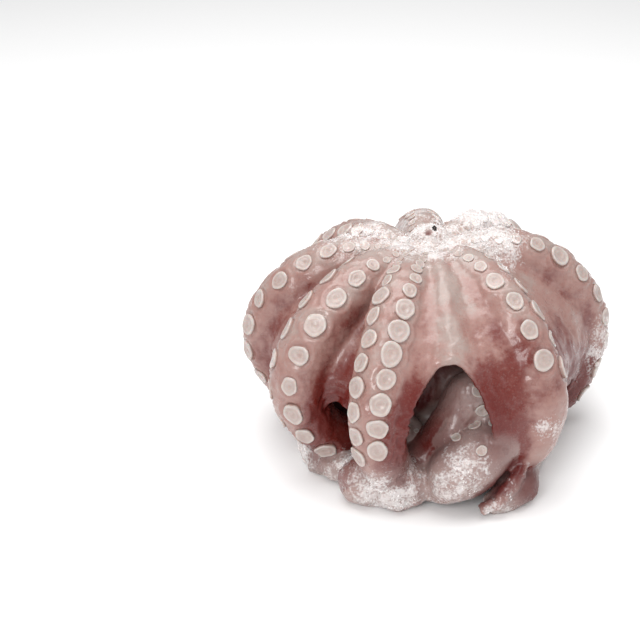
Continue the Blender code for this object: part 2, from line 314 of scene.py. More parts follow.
CREASE_WIDTH = 0.10


# ---------------------------------------------------------------- meshes


def new_object(name: str, mesh: bpy.types.Mesh) -> bpy.types.Object:
    """Puts a mesh into the scene as an object."""
    made = bpy.data.objects.new(name, mesh)
    bpy.context.scene.collection.objects.link(made)
    return made


def take_mesh(obj: bpy.types.Object) -> bpy.types.Mesh:
    """Reads an object's mesh with its modifiers applied, in world space, and removes the object.

    Args:
        obj: A mesh or curve object.

    Returns:
        Its evaluated mesh.
    """
    graph = bpy.context.evaluated_depsgraph_get()
    mesh = bpy.data.meshes.new_from_object(obj.evaluated_get(graph))
    mesh.transform(obj.matrix_world)
    bpy.data.objects.remove(obj)
    return mesh


def mesh_from(name: str, verts: list, faces: list, smooth: bool = True) -> bpy.types.Mesh:
    """Makes a mesh from points and faces.

    Args:
        name: The mesh's name.
        verts: Its points.
        faces: Its faces, as tuples of point numbers.
        smooth: Whether its faces are shaded smooth.

    Returns:
        The mesh.
    """
    mesh = bpy.data.meshes.new(name)
    mesh.from_pydata([tuple(v) for v in verts], [], faces)
    mesh.validate()
    mesh.polygons.foreach_set("use_smooth", [smooth] * len(mesh.polygons))
    mesh.update()
    return mesh


def places_of(mesh: bpy.types.Mesh) -> np.ndarray:
    """Reads a mesh's points, one in each row."""
    flat = np.empty(len(mesh.vertices) * 3)
    mesh.vertices.foreach_get("co", flat)
    return flat.reshape(-1, 3)


def normals_of(mesh: bpy.types.Mesh) -> np.ndarray:
    """Reads a mesh's normals at its points, one in each row."""
    flat = np.empty(len(mesh.vertices) * 3)
    mesh.vertices.foreach_get("normal", flat)
    return flat.reshape(-1, 3)


def set_places(mesh: bpy.types.Mesh, places: np.ndarray) -> None:
    """Moves a mesh's points.

    Args:
        mesh: The mesh.
        places: The new points, one in each row.
    """
    mesh.vertices.foreach_set("co", places.reshape(-1))
    mesh.update()


def set_field(mesh: bpy.types.Mesh, name: str, values: np.ndarray) -> None:
    """Stores a number at each point of a mesh, for its material to read.

    Args:
        mesh: The mesh.
        name: The name that the material knows it by.
        values: A number for each point.
    """
    attribute = mesh.attributes.new(name, "FLOAT", "POINT")
    attribute.data.foreach_set("value", np.asarray(values, dtype=np.float32))


def add_piece(name: str, mesh: bpy.types.Mesh, material: bpy.types.Material) -> bpy.types.Object:
    """Makes a visible piece that moves with the solid.

    Args:
        name: The piece's name.
        mesh: Its mesh.
        material: Its finish.

    Returns:
        The piece.
    """
    mesh.materials.clear()
    mesh.materials.append(material)
    piece = new_object(name, mesh)
    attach(piece, BODY)
    LOG.info("%s: %d faces", name, len(mesh.polygons))
    return piece


# ---------------------------------------------------------------- arms and webs


class ArmRoute:
    """An arm's axis from the mouth to its tip, and its tube."""

    least_gap: float = 0.8  # of the axis's own step, where its outer line is bunched up

    def __init__(self, name: str, plan: ArmPlan) -> None:
        """Works out the axis.

        Args:
            name: The arm's name.
            plan: What is particular to it.
        """
        self.name = name
        self.plan = plan
        knots = self.arch_knots() + list(plan.tail or self.roll_knots())
        line = smooth_line(np.array(knots))
        self.points = line[:, :3]
        self.half_widths = line[:, 3]
        self.ahead = np.gradient(self.points, axis=0)
        self.ahead /= np.linalg.norm(self.ahead, axis=1)[:, None]
        self.outward = self.carried_outward()
        outer_line = self.points + self.outward * self.half_widths[:, None]
        gaps = np.linalg.norm(np.diff(outer_line, axis=0), axis=1)
        axis_gaps = np.linalg.norm(np.diff(self.points, axis=0), axis=1)
        gaps = np.maximum(gaps, self.least_gap * axis_gaps)
        self.lengths = np.concatenate([[0.0], np.cumsum(gaps)])
        self.stations = np.arange(len(self.points)) / KNOT_STEPS

    def arch_knots(self) -> list[Knot]:
        """Gives the knots from the mouth to under the foot."""
        knots = []
        for station, (reach, height, half_width) in enumerate(SIZES.arch):
            share = ease((station - SIZES.foot_station + 1) / 3)
            tucked = 1 + (self.plan.tuck - 1) * ease((station - SIZES.foot_station + 2) / 3)
            out = reach * SIZES.span * tucked * (1 + (self.plan.reach - 1) * min(1, 2 * reach))
            up = height * SIZES.crown * (1 + (self.plan.rise - 1) * min(1, 2 * height))
            azimuth = self.plan.azimuth + self.plan.foot_swing * share
            place = polar(azimuth, out, up + self.plan.foot_lift * share)
            knots.append((*place, half_width * SIZES.span))
        return knots

    def roll_knots(self) -> list[Knot]:
        """Gives the knots of the spiral in which the arm rolls up, from its foot to its tip."""
        last_reach, last_height, last_width = SIZES.arch[-1]
        radius = SIZES.roll_radius * SIZES.span
        middle_reach = last_reach * SIZES.span * self.plan.tuck
        middle_height = last_height * SIZES.crown + self.plan.foot_lift + radius
        half_width = last_width * SIZES.span
        knots = []
        for knot in range(1, SIZES.roll_knots + 1):
            radius *= SIZES.roll_tightening
            half_width *= SIZES.tail_taper
            turn = knot * SIZES.roll_step
            azimuth = self.plan.azimuth + self.plan.foot_swing + self.plan.roll_swing * knot
            reach = middle_reach - radius * math.sin(turn)
            place = polar(azimuth, reach, middle_height - radius * math.cos(turn))
            knots.append((*place, half_width))
        return knots

    def carried_outward(self) -> np.ndarray:
        """Gives the way the suckers face: up at the mouth, then carried along without a twist."""
        outward = np.zeros_like(self.points)
        held = np.array([0.0, 0.0, 1.0])
        for index, ahead in enumerate(self.ahead):
            held = held - ahead * (held @ ahead)
            held /= np.linalg.norm(held)
            outward[index] = held
        return outward

    def read(self, values: np.ndarray, index: float) -> np.ndarray:
        """Reads values between two points of the line.

        Args:
            values: One for each point.
            index: The place, as a number that need not be whole.

        Returns:
            The value there.
        """
        low = int(min(max(index, 0), len(values) - 2))
        share = index - low
        return values[low] * (1 - share) + values[low + 1] * share

    def at_station(self, station: float) -> tuple[np.ndarray, np.ndarray, float]:
        """Gives the axis, the outward direction and the half width at a station."""
        index = station * KNOT_STEPS
        return tuple(self.read(v, index) for v in (self.points, self.outward, self.half_widths))

    def at_length(self, length: float) -> float:
        """Gives the index along the line at a length of its outer side from the mouth."""
        return float(np.interp(length, self.lengths, np.arange(len(self.lengths))))

    def tube(self) -> bpy.types.Mesh:
        """Makes the arm as a tapering tube."""
        return tube_mesh(self.name, list(self.points), list(self.half_widths))


def tube_mesh(name: str, points: list, half_widths: list, sides: int = 8) -> bpy.types.Mesh:
    """Makes a closed tube along a line.

    Args:
        name: Its name.
        points: Points along the line.
        half_widths: Its half width at each point.
        sides: Blender's bevel resolution.

    Returns:
        The tube's mesh.
    """
    curve = bpy.data.curves.new(name, "CURVE")
    curve.dimensions = "3D"
    curve.bevel_depth = 1
    curve.bevel_resolution = sides
    curve.use_fill_caps = True
    spline = curve.splines.new("POLY")
    spline.points.add(len(points) - 1)
    for point, place, half_width in zip(spline.points, points, half_widths):
        point.co = (*place, 1)
        point.radius = half_width
    tube = bpy.data.objects.new(name, curve)
    bpy.context.scene.collection.objects.link(tube)
    mesh = take_mesh(tube)
    shell = bmesh.new()
    shell.from_mesh(mesh)
    bmesh.ops.remove_doubles(shell, verts=shell.verts, dist=0.1 * MM)
    shell.to_mesh(mesh)
    shell.free()
    return mesh


class Web:
    """The skin that hangs between two neighbouring arms."""

    steps: int = 40
    hem: float = 2.9 * MM  # half width of the rounded free edge

    def __init__(self, name: str, plan: WebPlan, first: ArmRoute, second: ArmRoute) -> None:
        """Works out the web's surface.

        Args:
            name: The web's name.
            plan: What is particular to it.
            first: The arm on one side.
            second: The next arm round the mouth.
        """
        self.name = name
        self.plan = plan
        self.first = first
        self.second = second
        self.rows = [
            [self.point(row / self.steps, column / self.steps) for column in range(self.steps + 1)]
            for row in range(self.steps + 1)
        ]

    def point(self, down: float, across: float) -> Vector:
        """Gives a point of the web.

        Args:
            down: How far from the mouth, 0, to the free edge, 1.
            across: How far from the first arm, 0, to the second, 1.

        Returns:
            The point.
        """
        aside = abs(2 * across - 1 - self.plan.skew)
        edge = self.plan.edge + self.plan.arch * aside ** EDGE_POWER
        station = WEB_START + (min(WEB_END, edge) - WEB_START) * down
        places = []
        for route in (self.first, self.second):
            axis, outward, half_width = route.at_station(station)
            places.append((axis + outward * half_width * self.plan.join, outward))
        (start, start_out), (end, end_out) = places
        start_angle = math.atan2(start[0], -start[1])
        turn = (math.atan2(end[0], -end[1]) - start_angle) % (2 * math.pi)
        angle = math.degrees(start_angle + turn * across)
        reach = (1 - across) * math.hypot(*start[:2]) + across * math.hypot(*end[:2])
        height = (1 - across) * start[2] + across * end[2]
        outward = Vector((1 - across) * start_out + across * end_out)
        outward = polar(angle, math.hypot(*outward.xy), outward.z).normalized()
        valley = self.plan.depth * math.sin(math.pi * across) ** VALLEY_POWER
        fold = self.plan.crease * hump(across, CREASE_PLACE, CREASE_WIDTH)
        grown = ease(station / 3)
        return polar(angle, reach, height) - outward * (valley - fold) * grown

    def sheet(self) -> bpy.types.Mesh:
        """Makes the web as an open surface with its thickness."""
        count = self.steps + 1
        verts = [point for row in self.rows for point in row]
        faces = []
        for row in range(self.steps):
            for column in range(self.steps):
                corner = row * count + column
                faces.append((corner, corner + 1, corner + count + 1, corner + count))
        sheet = new_object(self.name, mesh_from(self.name, verts, faces))
        skin = sheet.modifiers.new("Thickness", "SOLIDIFY")
        skin.thickness = SIZES.web_thickness
        skin.offset = 0
        return take_mesh(sheet)

    def hem_tube(self) -> bpy.types.Mesh:
        """Makes the rounded rim of the web's free edge."""
        edge = self.rows[-1]
        return tube_mesh(self.name + "_hem", edge, [self.hem] * len(edge), sides=4)


# ---------------------------------------------------------------- finishes


class NodeBench:
    """A material under construction, with short ways to add its nodes."""

    def __init__(self, name: str) -> None:
        """Starts a material with its surface shader.

        Args:
            name: The material's name.
        """
        self.material = bpy.data.materials.new(name)
        self.material.use_nodes = True
        self.tree = self.material.node_tree
        self.surface = self.tree.nodes["Principled BSDF"]

    def put(self, socket: bpy.types.NodeSocket, value: object) -> None:
        """Sets a socket to a value, or links another socket to it."""
        if isinstance(value, bpy.types.NodeSocket):
            self.tree.links.new(value, socket)
        elif isinstance(value, tuple) and len(value) == 3 and socket.type == "RGBA":
            socket.default_value = (*value, 1)
        else:
            socket.default_value = value

    def shader(self, **values: object) -> None:
        """Sets the surface shader's inputs, named with _ for a space."""
        for name, value in values.items():
            self.put(self.surface.inputs[name.replace("_", " ")], value)

    def field(self, name: str) -> bpy.types.NodeSocket:
        """Reads a number stored at the mesh's points."""
        node = self.tree.nodes.new("ShaderNodeAttribute")
        node.attribute_name = name
        return node.outputs["Fac"]

    def lumps(self, size: float, detail: float = 2.0, seed: float = 0.0) -> bpy.types.NodeSocket:
        """Reads noise, 0 to 1, with lumps of a size in metres.

        Args:
            size: Size of the lumps.
            detail: How many finer layers it has.
            seed: How far along the noise is shifted.

        Returns:
            The noise.
        """
        place = self.tree.nodes.new("ShaderNodeTexCoord")
        moved = self.tree.nodes.new("ShaderNodeMapping")
        moved.inputs["Location"].default_value = (seed, seed * 0.7, seed * -0.4)
        self.tree.links.new(place.outputs["Object"], moved.inputs["Vector"])
        node = self.tree.nodes.new("ShaderNodeTexNoise")
        node.inputs["Scale"].default_value = 1 / size
        node.inputs["Detail"].default_value = detail
        self.tree.links.new(moved.outputs["Vector"], node.inputs["Vector"])
        return node.outputs["Fac"]

    def sum(self, operation: str, first: object, second: object) -> bpy.types.NodeSocket:
        """Works out a sum of two values.

        Args:
            operation: The sum, by Blender's name for it.
            first: A number or a socket.
            second: A number or a socket.

        Returns:
            The result.
        """
        node = self.tree.nodes.new("ShaderNodeMath")
        node.operation = operation
        self.put(node.inputs[0], first)
        self.put(node.inputs[1], second)
        return node.outputs[0]

    def spread(self, value: object, low: float, high: float, to_low: float = 0.0,
               to_high: float = 1.0) -> bpy.types.NodeSocket:
        """Stretches a value's range to another one, clamped and smooth at its ends.

        Args:
            value: The socket to read.
            low: The value that becomes to_low.
            high: The value that becomes to_high.
            to_low: The new range's start.
            to_high: The new range's end.

        Returns:
            The stretched value.
        """
        node = self.tree.nodes.new("ShaderNodeMapRange")
        node.interpolation_type = "SMOOTHSTEP"
        for name, number in zip(("From Min", "From Max", "To Min", "To Max"),
                                (low, high, to_low, to_high)):
            node.inputs[name].default_value = number
        self.put(node.inputs["Value"], value)
        return node.outputs["Result"]

    def mix(self, share: object, first: object, second: object) -> bpy.types.NodeSocket:
        """Mixes two colours.

        Args:
            share: How much of the second one there is.
            first: A colour or a socket.
            second: A colour or a socket.

        Returns:
            The mixed colour.
        """
        node = self.tree.nodes.new("ShaderNodeMix")
        node.data_type = "RGBA"
        self.put(node.inputs["Factor"], share)
        self.put(node.inputs[6], first)
        self.put(node.inputs[7], second)
        return node.outputs[2]

    def bump(self, height: bpy.types.NodeSocket, depth: float,
             under: bpy.types.NodeSocket | None = None) -> bpy.types.NodeSocket:
        """Adds relief to the surface.

        Args:
            height: The relief, 0 to 1.
            depth: Its depth in metres.
            under: Relief that it lies on.

        Returns:
            The normal.
        """
        node = self.tree.nodes.new("ShaderNodeBump")
        node.inputs["Distance"].default_value = depth
        node.inputs["Strength"].default_value = 1.0
        self.put(node.inputs["Height"], height)
        if under is not None:
            self.put(node.inputs["Normal"], under)
        return node.outputs["Normal"]


@dataclass(frozen=True)
class FleshFinish:
    """Moist skin, from pale to red, with dark red painted shade in hollows and underneath, and
    frost where it lies.
    """

    pale: Colour = to_linear(158, 139, 132)
    pink: Colour = to_linear(152, 115, 107)
    red: Colour = to_linear(104, 38, 31)
    # dark red: painted shade on inner sides, undersides, low free edges and grooves, and the skin's
    # own red in one speck
    red_and_painted_shade: Colour = to_linear(82, 4, 5)
    grey: Colour = to_linear(158, 138, 133)
    frost: Colour = to_linear(232, 228, 227)
    brown: Colour = to_linear(112, 62, 40)

    def material(self) -> bpy.types.Material:
        """Builds the material."""
        bench = NodeBench("moist_skin")
        blotches = bench.lumps(16 * MM, 3.0)
        mottle = bench.lumps(3.5 * MM, 2.0, 5.0)
        blotched = bench.spread(blotches, 0.3, 0.7, -0.16, 0.16)
        flush = bench.sum("ADD", bench.field("flush"), blotched)
        flush = bench.sum("ADD", flush, bench.spread(mottle, 0.3, 0.7, -0.06, 0.06))
        colour = bench.mix(bench.spread(flush, 0.0, 0.5), self.pale, self.pink)
        # past 0.42 the flush turns red; where low free edges and the flush patches raise it, that
        # red is partly painted shade
        colour = bench.mix(bench.spread(flush, 0.42, 1.0), colour, self.red)
        colour = bench.mix(bench.field("grey"), colour, self.grey)
        # painted shade: the dark red laid on by its field
        colour = bench.mix(bench.field("red_and_painted_shade"), colour, self.red_and_painted_shade)
        freckles = bench.spread(bench.lumps(1.9 * MM, 1.0, 9.0), 0.70, 0.80, 0.0, 0.35)
        freckled = bench.sum("MULTIPLY", freckles, bench.field("flush"))
        colour = bench.mix(freckled, colour, self.brown)

        specks = bench.spread(bench.lumps(1.3 * MM, 2.0, 13.0), 0.50, 0.72, 0.0, 0.15)
        specks = bench.sum("MULTIPLY", specks, bench.sum("SUBTRACT", 1.0, bench.field("red_and_painted_shade")))
        colour = bench.mix(specks, colour, self.pale)
        frost = self.frosted(bench)
        colour = bench.mix(bench.sum("MULTIPLY", frost, 0.66), colour, self.frost)
        wet = bench.spread(bench.lumps(9 * MM, 2.0, 2.0), 0.35, 0.65, 0.24, 0.46)
        rough = bench.sum("ADD", wet, bench.sum("MULTIPLY", frost, 0.28))
        soft = bench.bump(bench.lumps(2.2 * MM, 2.0, 3.0), 0.22 * MM)
        grains = bench.bump(bench.sum("MULTIPLY", bench.lumps(0.9 * MM, 1.0, 7.0), frost),
                            0.7 * MM, soft)
        # less coat and specular in the painted shade, so no gloss lightens it
        outside_painted_shade = bench.sum("SUBTRACT", 1.0, bench.sum("MULTIPLY", bench.field("red_and_painted_shade"), 0.8))
        bench.shader(Base_Color=colour, Roughness=rough, Normal=grains,
                     Coat_Weight=bench.sum("MULTIPLY", outside_painted_shade, 0.4),
                     Specular_IOR_Level=bench.sum("MULTIPLY", outside_painted_shade, 0.5),
                     Coat_Roughness=0.16, Subsurface_Weight=0.15, Subsurface_Scale=2 * MM)
        bench.surface.inputs["Subsurface Radius"].default_value = (1.0, 0.45, 0.35)
        return bench.material

    def frosted(self, bench: NodeBench) -> bpy.types.NodeSocket:
        """Breaks the frost's field up into patches and grains.

        Args:
            bench: The material under construction.

        Returns:
            How much frost there is, 0 to 1.
        """
        patches = bench.sum("ADD", bench.lumps(9 * MM, 3.0, 11.0), bench.lumps(1.7 * MM, 2.0, 17.0))
        edge = bench.sum("SUBTRACT", bench.sum("ADD", bench.field("frost"), patches), 1.5)
        return bench.spread(edge, -0.16, 0.28)


@dataclass(frozen=True)
class SuckerFinish:
    """Pale discs with a greyish hollow, and painted shade as a dark crease colour round their foot.
    """

    rim: Colour = to_linear(188, 178, 172)
    dish: Colour = to_linear(172, 156, 150)
    side: Colour = to_linear(150, 120, 111)
    # painted shade: the crease colour stands for the shadow in the groove round each sucker's foot
    crease: Colour = to_linear(82, 46, 40)
    frost: Colour = to_linear(232, 224, 221)

    def material(self) -> bpy.types.Material:
        """Builds the material."""
        bench = NodeBench("sucker_skin")
        tone = bench.field("tone")
        # painted shade: the lowest tones, at the sucker's foot, take the dark crease colour
        colour = bench.mix(bench.spread(tone, 0.0, 0.22), self.crease, self.side)
        colour = bench.mix(bench.spread(tone, 0.22, 0.55), colour, self.dish)
        colour = bench.mix(bench.spread(tone, 0.6, 0.95), colour, self.rim)
        stain = bench.spread(bench.lumps(5 * MM, 3.0), 0.35, 0.7, 0.0, 0.35)
        colour = bench.mix(stain, colour, self.side)
        patches = bench.sum("ADD", bench.field("frost"), bench.lumps(4 * MM, 4.0, 3.0))
        frost = bench.spread(patches, 0.95, 1.25)
        colour = bench.mix(bench.sum("MULTIPLY", frost, 0.8), colour, self.frost)
        wet = bench.spread(bench.lumps(6 * MM, 2.0, 6.0), 0.35, 0.65, 0.26, 0.46)
        rough = bench.sum("ADD", wet, bench.sum("MULTIPLY", frost, 0.25))
        relief = bench.bump(bench.lumps(1.4 * MM, 2.0, 8.0), 0.18 * MM)
        bench.shader(Base_Color=colour, Roughness=rough, Normal=relief, Coat_Weight=0.25,
                     Coat_Roughness=0.2, Subsurface_Weight=0.15, Subsurface_Scale=1.5 * MM)
        return bench.material


@dataclass(frozen=True)
class IceFinish:
    """Cloudy ice: bright, hard and a little see-through."""

    name: str = "frost_grains"
    colour: Colour = to_linear(236, 232, 231)
    roughness: float = 0.12
    clear: float = 0.0

    def material(self) -> bpy.types.Material:
        """Builds the material."""
        bench = NodeBench(self.name)
        cloud = bench.spread(bench.lumps(2.5 * MM, 2.0), 0.3, 0.7, 0.78, 1.0)
        colour = bench.mix(cloud, to_linear(212, 204, 201), self.colour)
        bench.shader(Base_Color=colour, Roughness=self.roughness, Transmission_Weight=self.clear,
                     IOR=1.31, Normal=bench.bump(bench.lumps(1.2 * MM, 2.0, 4.0), 0.2 * MM))
        return bench.material


@dataclass(frozen=True)
class BeakFinish:
    """Dark brown horn."""

    horn: Colour = to_linear(46, 30, 24)
    edge: Colour = to_linear(18, 12, 11)

    def material(self) -> bpy.types.Material:
        """Builds the material."""
        bench = NodeBench("horn")
        colour = bench.mix(bench.spread(bench.lumps(2 * MM, 3.0), 0.35, 0.65), self.horn, self.edge)
        relief = bench.bump(bench.lumps(1 * MM, 2.0, 2.0), 0.1 * MM)
        bench.shader(Base_Color=colour, Roughness=0.25, Normal=relief)
        return bench.material


# ---------------------------------------------------------------- frost


@dataclass(frozen=True)
class Patch:
    """A round place on the skin where frost lies thick, or where its colour differs."""

    place: tuple[float, float, float]
    radius: float
    strength: float

    def over(self, places: np.ndarray, spread: float) -> np.ndarray:
        """Reads how strong the patch is.

        Args:
            places: Points in metres, one in each row.
            spread: How many radii from its middle it has faded out.

        Returns:
            0 outside it to its strength in its middle, for each point.
        """
        away = np.linalg.norm(places - np.array(self.place), axis=1)
        return self.strength * ease(spread - away / self.radius)


def patches(*rows: tuple[float, float, float, float, float]) -> tuple[Patch, ...]:
    """Makes patches of rows with the place and the radius in millimetres, and the strength."""
    return tuple(Patch((x * MM, y * MM, z * MM), radius * MM, strength)
                 for x, y, z, radius, strength in rows)


# Patches of dark red, the colour of the painted shade under and inside the animal; the last is a
# red speck of the skin's own.
RED_AND_SHADE_PATCHES: tuple[Patch, ...] = patches(
    (52, -107, 31, 12, 1.0),  # painted shade in the groove beside the roll
    (43, -114, 23, 11, 1.0),
    (34, -119, 15, 8, 0.85),
    (67, -105, 16, 18, 0.85),  # the right arm's end
    (8, -97, 42, 20, 0.60),  # painted shade on the coil's rising side, inside the arch
    (-72, -62, 16, 14, 0.70),  # the left tail's bend
    (56, -85, 131, 3, 0.60),  # a red speck
)
GREY_PATCHES: tuple[Patch, ...] = patches(
    (-30, -112, 20, 30, 0.80),  # the front arm's foot
    (-74, -46, 14, 26, 0.60),  # the left tail
)
# Patches of redder skin, partly painted shade, on the front right arm's flanks and the front web's
# right half.
FLUSH_AND_SHADE_PATCHES: tuple[Patch, ...] = patches(
    (68, -92, 95, 28, 0.22),  # the front right arm's near flank
    (42, -98, 112, 28, 0.30),  # the front web's right half
    (98, -50, 92, 28, 0.45),  # painted shade on the front right arm's far flank
)
FROST_PATCHES: tuple[Patch, ...] = patches(
    (-30, -112, 20, 32, 0.70),  # the front arm's foot
    (-46, -88, 14, 26, 0.76),  # the tail beside it
    (20, -116, 32, 30, 0.60),  # the front roll's near side
    (72, -106, 6, 10, 0.62),  # the right arm's end
    (-6, 56, 146, 32, 0.50),  # the back arm's top
    (-76, -52, 14, 28, 0.78),  # the left tail
    (132, 28, 60, 42, 0.65),  # the right arm's side
    (52, -38, 140, 26, 0.60),  # the front right arm's top
    (40, 50, 146, 42, 0.82),  # the back right arm's top
    (-50, 20, 142, 40, 0.62),  # the left arms' tops
    (46, 8, 146, 30, 0.70),  # the right arm's top
    (76, -104, 64, 15, 0.56),  # ice on the front right arm
)


class Frost:
    """Where frost lies on the animal."""

    crown_strength: float = 0.66
    foot_strength: float = 0.45
    crest_radius: float = 7 * MM
    crest_strength: float = 0.78
    crest_spacing: int = 6  # points of the crest's line from one of its patches to the next
    spread: float = 1.35  # radii at which a patch has faded out

    def __init__(self) -> None:
        """Lays patches along the crest beside the others."""
        ridge = smooth_line(np.array(CREST))[:: self.crest_spacing, :3]
        crest = [Patch(tuple(place), self.crest_radius, self.crest_strength) for place in ridge]
        self.patches = [*FROST_PATCHES, *crest]

    def at(self, places: np.ndarray, facing_up: np.ndarray) -> np.ndarray:
        """Reads how thick the frost is.

        Args:
            places: Points in metres, one in each row.
            facing_up: The height of each point's normal.

        Returns:
            0 for none to 1 for thick, for each point.
        """
        reach = np.hypot(places[:, 0], places[:, 1])
        height = places[:, 2]
        crown = self.crown_strength * ease((66 * MM - reach) / (44 * MM))
        crown *= ease((height - 0.72 * SIZES.crown) / (0.2 * SIZES.crown))
        foot = self.foot_strength * ease((34 * MM - height) / (26 * MM))
        frost = np.maximum(crown * ease(facing_up + 0.6), foot)
        for patch in self.patches:
            frost = np.maximum(frost, patch.over(places, self.spread))
        return frost


# ---------------------------------------------------------------- the body


@dataclass(frozen=True)
class SkinFields:
    """What is known of each point of the skin."""

    station: np.ndarray  # of the nearest arm
    gap: np.ndarray  # how far outside the nearest arm's tube it lies
    oral: np.ndarray  # 1 on the suckers' side of the arm, -1 on the other
    web_flush: np.ndarray  # flush of the nearest web
    down: np.ndarray  # 0 at the mouth to 1 at the web's free edge
    fold: np.ndarray  # 1 on the front web's pale fold
    edge: np.ndarray  # how far it lies from a web's free edge
    web_gap: np.ndarray  # how far it lies from any web's middle surface


class SkinTones:
    """How flushed, how much dark red painted shade, and how grey the skin is at each of its points.
    """

    patch_spread: float = 1.4  # radii at which a patch has faded out
    low: float = 118 * MM  # height below which the skin along a free edge is red with painted shade
    edge_red_and_shade_band: float = 18 * MM  # how far that red and painted shade reach from the edge
    more_red_and_shade_band: float = 9 * MM  # how much further it reaches right of the front web's middle
    web_skin: float = 24 * MM  # what is nearer a web's surface than this counts as the web
    tail_start: float = 8.3  # station where an arm's greyer end begins
    climb: float = 10.2  # station of the middle of the coil's rising side
    climb_reach: float = 104 * MM  # the coil's far side lies nearer the mouth's axis than this
    hollow_reach: float = 98 * MM  # so does all that is under the animal, where shade is painted
    hollow_height: float = 0.70  # in crowns, the hollow's top

    def __init__(self, places: np.ndarray, normals: np.ndarray, fields: SkinFields) -> None:
        """Works out which region each point belongs to.

        Args:
            places: The skin's points, one in each row.
            normals: Their normals.
            fields: What else is known of them.
        """
        self.places = places
        self.normals = normals
        self.fields = fields
        self.reach = np.hypot(places[:, 0], places[:, 1])
        self.on_web = ease((fields.gap - 1 * MM) / (9 * MM))
        on_arm = 1 - self.on_web
        self.tail = ease((fields.station - self.tail_start) / 0.9) * on_arm
        self.rising = hump(fields.station, self.climb, 1.3) * on_arm
        self.rising *= self.reach < self.climb_reach
        self.by_web = (fields.web_gap < self.web_skin) * ease((self.low - places[:, 2]) / (40 * MM))
        right = ease((places[:, 0] - 10 * MM) / (30 * MM))
        self.band = self.edge_red_and_shade_band + self.more_red_and_shade_band * right

    def flush(self) -> np.ndarray:
        """Works out how red the skin is: more so down the arms, on their sides and by the webs,
        where the red along low free edges is partly painted shade.
        """
        f = self.fields
        side = 0.40 * ease(0.9 - f.oral)
        arm = 0.10 + 0.34 * ease(f.station / 5.5) + side * ease(f.station / 3)
        web = f.web_flush * (0.30 + 0.70 * ease((f.down - 0.1) / 0.9))
        flush = (1 - self.on_web) * arm + self.on_web * web
        flush = flush * (1 - 0.85 * f.fold * self.on_web)
        # redder patches, partly painted shade
        for patch in FLUSH_AND_SHADE_PATCHES:
            flush += patch.over(self.places, self.patch_spread)
        # red along the webs' low free edges: partly painted shade
        flush += 1.1 * ease(1 - (f.edge - 5 * MM) / self.band) * self.by_web
        return flush + 0.55 * self.rising

    def red_and_painted_shade(self) -> np.ndarray:
        """Works out the dark red painted shade, with the skin's own red in one speck: on inner
        sides, underneath, by low free edges, in grooves and on the coil's rising side.
        """
        f = self.fields
        inward = -(self.normals[:, :2] * self.places[:, :2]).sum(axis=1)
        inward /= np.maximum(self.reach, 1e-6)
        inside = ease((inward - 0.1) / 0.5) * ease((f.gap + 2 * MM) / (6 * MM))
        under = ease((self.hollow_reach - self.reach) / (18 * MM))
        under *= ease((self.hollow_height * SIZES.crown - self.places[:, 2]) / (12 * MM))
        by_edge = 0.6 * ease(1 - (f.edge - 3 * MM) / (0.8 * self.band)) * self.by_web
        layers = [inside, under * (1 - self.tail), by_edge, 0.30 * self.rising]
        layers += [patch.over(self.places, self.patch_spread) for patch in RED_AND_SHADE_PATCHES]
        return np.max(layers, axis=0)

    def grey(self) -> np.ndarray:
        """Works out where the skin is greyish: at the arms' ends and on the frosted feet."""
        layers = [0.8 * self.tail * (1 - 0.9 * self.rising)]
        layers += [patch.over(self.places, self.patch_spread) for patch in GREY_PATCHES]
        return np.max(layers, axis=0)


